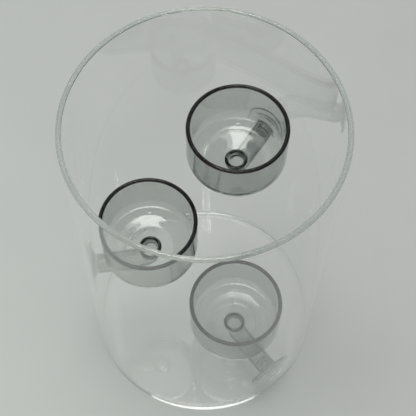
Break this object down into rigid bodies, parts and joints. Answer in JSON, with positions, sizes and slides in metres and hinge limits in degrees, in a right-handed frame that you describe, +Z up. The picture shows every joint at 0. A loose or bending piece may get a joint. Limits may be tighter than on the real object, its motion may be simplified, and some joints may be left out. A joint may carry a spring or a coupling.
{
  "type": "protein skimmer",
  "caption": "Open clear glass cylinder with smoked glass drain cups at stepped heights inside, each on a hollow elbow arm held to the wall by a suction cup.",
  "frame": {"origin": "centre of the vessel's underside", "axes": "+Z up along the vessel's axis; the lower cup is towards -Y, the upper cup towards +Y, the middle cup towards -X"},
  "size_m": [0.16, 0.16, 0.26],
  "materials": {
    "clear_glass": "clear, fire-polished",
    "smoked_glass": "smoked grey, fire-polished",
    "clear_vinyl": "clear, soft, glossy"
  },
  "bodies": {
    "vessel": {"cylinder_wall": "clear_glass", "base_disc": "clear_glass"},
    "upper_pad": {"upper_suction_cup": "clear_vinyl"},
    "upper_cup": {"upper_bowl": "smoked_glass", "upper_drain_collar": "smoked_glass", "upper_side_arm": "smoked_glass"},
    "middle_pad": {"middle_suction_cup": "clear_vinyl"},
    "middle_cup": {"middle_bowl": "smoked_glass", "middle_drain_collar": "smoked_glass", "middle_side_arm": "smoked_glass"},
    "lower_pad": {"lower_suction_cup": "clear_vinyl"},
    "lower_cup": {"lower_bowl": "smoked_glass", "lower_drain_collar": "smoked_glass", "lower_side_arm": "smoked_glass"}
  },
  "joints": [
    {"name": "upper_pad_pull_off", "type": "slide", "parent": "vessel", "child": "upper_pad", "axis": [-0.5446, -0.8387, 0], "range_m": [0, 0.012]},
    {"name": "upper_cup_swivel", "type": "hinge", "parent": "upper_pad", "child": "upper_cup", "pos_m": [0.039, 0.06005, 0.1616], "axis": [0.5446, 0.8387, 0], "range_deg": [-35, 35]},
    {"name": "middle_pad_pull_off", "type": "slide", "parent": "vessel", "child": "middle_pad", "axis": [0.9833, 0.1822, 0], "range_m": [0, 0.012]},
    {"name": "middle_cup_swivel", "type": "hinge", "parent": "middle_pad", "child": "middle_cup", "pos_m": [-0.0704, -0.01305, 0.1091], "axis": [-0.9833, -0.1822, 0], "range_deg": [-35, 35]},
    {"name": "lower_pad_pull_off", "type": "slide", "parent": "vessel", "child": "lower_pad", "axis": [-0.6018, 0.7986, 0], "range_m": [0, 0.012]},
    {"name": "lower_cup_swivel", "type": "hinge", "parent": "lower_pad", "child": "lower_cup", "pos_m": [0.04309, -0.05718, 0.0381], "axis": [0.6018, -0.7986, 0], "range_deg": [-35, 35]}
  ]
}
